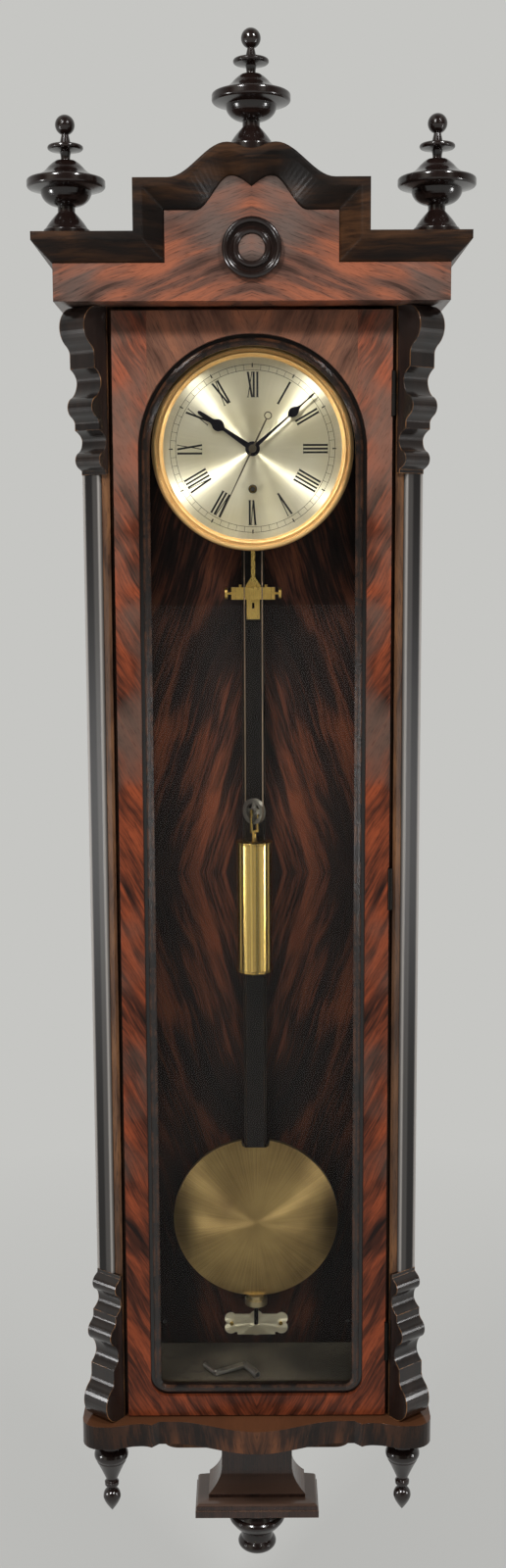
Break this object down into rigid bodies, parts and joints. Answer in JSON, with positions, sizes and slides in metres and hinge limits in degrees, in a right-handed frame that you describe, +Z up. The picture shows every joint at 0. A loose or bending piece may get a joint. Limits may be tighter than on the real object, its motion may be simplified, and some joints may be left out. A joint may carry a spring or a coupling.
{
  "type": "regulator clock",
  "caption": "Weight-driven wall regulator clock with a seconds pendulum, silvered dial and centre seconds hand, in a glazed walnut and ebonised case with turned finials.",
  "frame": {"origin": "centre of the hanger hole, at the back face of the hanger plate", "axes": "+Z up, +Y into the wall, so the clock faces -Y, +X to the viewer's right"},
  "size_m": [0.5032, 0.197, 1.8834],
  "materials": {
    "veneer": "figured walnut veneer, french polished",
    "frieze_veneer": "flame walnut veneer, french polished",
    "cornice_wood": "dark stained and polished",
    "back_veneer": "dark walnut veneer, satin",
    "case_wood": "walnut, satin",
    "ebonised": "ebonised, satin, worn at the edges",
    "turned_black": "ebonised turnings, polished",
    "glass": "clear",
    "brass": "polished and lacquered",
    "bezel_brass": "spun and polished",
    "bob_brass": "satin, dulled",
    "weight_brass": "mirror polished",
    "silvered": "silvered, radially brushed",
    "blued_steel": "blued",
    "steel": "ground",
    "iron": "black japanned",
    "gut": "natural gut"
  },
  "bodies": {
    "case": {"backboard": "back_veneer", "hanger_plate": "brass", "corner_post_left": "case_wood", "corner_post_right": "case_wood", "pilaster_strips": "ebonised", "side_frames": "case_wood", "side_glasses": "glass", "floor_board": "case_wood", "header_boards": "frieze_veneer", "frieze_board": "frieze_veneer", "cornice_front": "cornice_wood", "cornice_returns": "cornice_wood", "roundel": "turned_black", "finial_centre": "turned_black", "finial_left": "turned_black", "finial_right": "turned_black", "upper_bracket_left": "ebonised", "upper_bracket_right": "ebonised", "lower_bracket_left": "ebonised", "lower_bracket_right": "ebonised", "base_plate": "ebonised", "base_underboard": "case_wood", "drop_finials": "turned_black", "pendant_block": "ebonised", "pendant_boss": "turned_black", "case_hinge_leaves": "iron", "movement_bracket": "iron", "movement_frame": "brass", "suspension_cock": "brass", "dial": "silvered", "bezel": "bezel_brass", "beat_plate": "silvered", "case_screws": "brass", "gut_line": "gut"},
    "door": {"door_stile_left": "veneer", "door_stile_right": "veneer", "door_top_rail": "veneer", "door_bottom_rail": "veneer", "door_moulding": "ebonised", "door_glass": "glass", "door_hinge_leaves": "iron"},
    "pendulum": {"suspension_spring": "steel", "pendulum_rod": "ebonised", "bob": "bob_brass"},
    "rating_nut": {"rating_nut": "brass"},
    "crutch": {"crutch": "brass", "beat_adjuster": "brass"},
    "minute_hand": {"minute_hand": "blued_steel"},
    "hour_hand": {"hour_hand": "blued_steel"},
    "escape_wheel": {"escape_wheel": "brass", "seconds_hand": "blued_steel"},
    "second_wheel": {"second_wheel": "brass"},
    "third_wheel": {"third_wheel": "brass"},
    "great_wheel": {"great_wheel": "brass"},
    "winding_drum": {"winding_drum": "steel"},
    "weight": {"weight": "weight_brass", "gut_bight": "gut"},
    "pulley": {"pulley": "steel"},
    "winding_crank": {"winding_crank": "steel"}
  },
  "joints": [
    {"name": "door_swing", "type": "hinge", "parent": "case", "child": "door", "pos_m": [0.1615, -0.131, -0.707], "axis": [0, 0, 1], "range_deg": [0, 110]},
    {"name": "pendulum_swing", "type": "hinge", "parent": "case", "child": "pendulum", "pos_m": [0, -0.038, -0.1625], "axis": [0, 1, 0], "range_deg": [-2.5, 2.5]},
    {"name": "crutch_swing", "type": "hinge", "parent": "case", "child": "crutch", "pos_m": [0, -0.049, -0.1625], "axis": [0, 1, 0], "range_deg": [-2.5, 2.5]},
    {"name": "rating_nut_turn", "type": "hinge", "parent": "pendulum", "child": "rating_nut", "pos_m": [0, -0.038, -1.266], "axis": [0, 0, 1], "continuous": true},
    {"name": "minute_turn", "type": "hinge", "parent": "case", "child": "minute_hand", "pos_m": [0, -0.106, -0.19], "axis": [0, 1, 0], "continuous": true},
    {"name": "hour_turn", "type": "hinge", "parent": "case", "child": "hour_hand", "pos_m": [0, -0.103, -0.19], "axis": [0, 1, 0], "continuous": true},
    {"name": "escape_turn", "type": "hinge", "parent": "case", "child": "escape_wheel", "pos_m": [0, -0.073, -0.19], "axis": [0, 1, 0], "continuous": true},
    {"name": "third_turn", "type": "hinge", "parent": "case", "child": "third_wheel", "pos_m": [-0.02143, -0.079, -0.18384], "axis": [0, 1, 0], "continuous": true},
    {"name": "second_turn", "type": "hinge", "parent": "case", "child": "second_wheel", "pos_m": [-0.02683, -0.085, -0.21009], "axis": [0, 1, 0], "continuous": true},
    {"name": "great_turn", "type": "hinge", "parent": "case", "child": "great_wheel", "pos_m": [0, -0.062, -0.236], "axis": [0, 1, 0], "continuous": true},
    {"name": "weight_travel", "type": "slide", "parent": "case", "child": "weight", "axis": [0, 0, 1], "range_m": [-0.48, 0.25], "deforming": ["gut_line"]},
    {"name": "drum_turn", "type": "hinge", "parent": "case", "child": "winding_drum", "pos_m": [0, -0.073, -0.236], "axis": [0, 1, 0], "continuous": true},
    {"name": "pulley_turn", "type": "hinge", "parent": "weight", "child": "pulley", "pos_m": [0, -0.08, -0.621], "axis": [0.6561, 0.7547, 0], "continuous": true},
    {"name": "crank_lift", "type": "slide", "parent": "case", "child": "winding_crank", "axis": [0, 0, 1], "range_m": [0, 0.03]}
  ],
  "couplings": [
    {"joint": "crutch_swing", "follows": "pendulum_swing", "ratio": 1},
    {"joint": "hour_turn", "follows": "minute_turn", "ratio": 0.083333},
    {"joint": "escape_turn", "follows": "minute_turn", "ratio": 60},
    {"joint": "third_turn", "follows": "minute_turn", "ratio": -8},
    {"joint": "second_turn", "follows": "minute_turn", "ratio": 1},
    {"joint": "great_turn", "follows": "minute_turn", "ratio": -0.066667},
    {"joint": "drum_turn", "follows": "weight_travel", "rad_per_m": 189.29},
    {"joint": "pulley_turn", "follows": "weight_travel", "rad_per_m": 71.429}
  ]
}
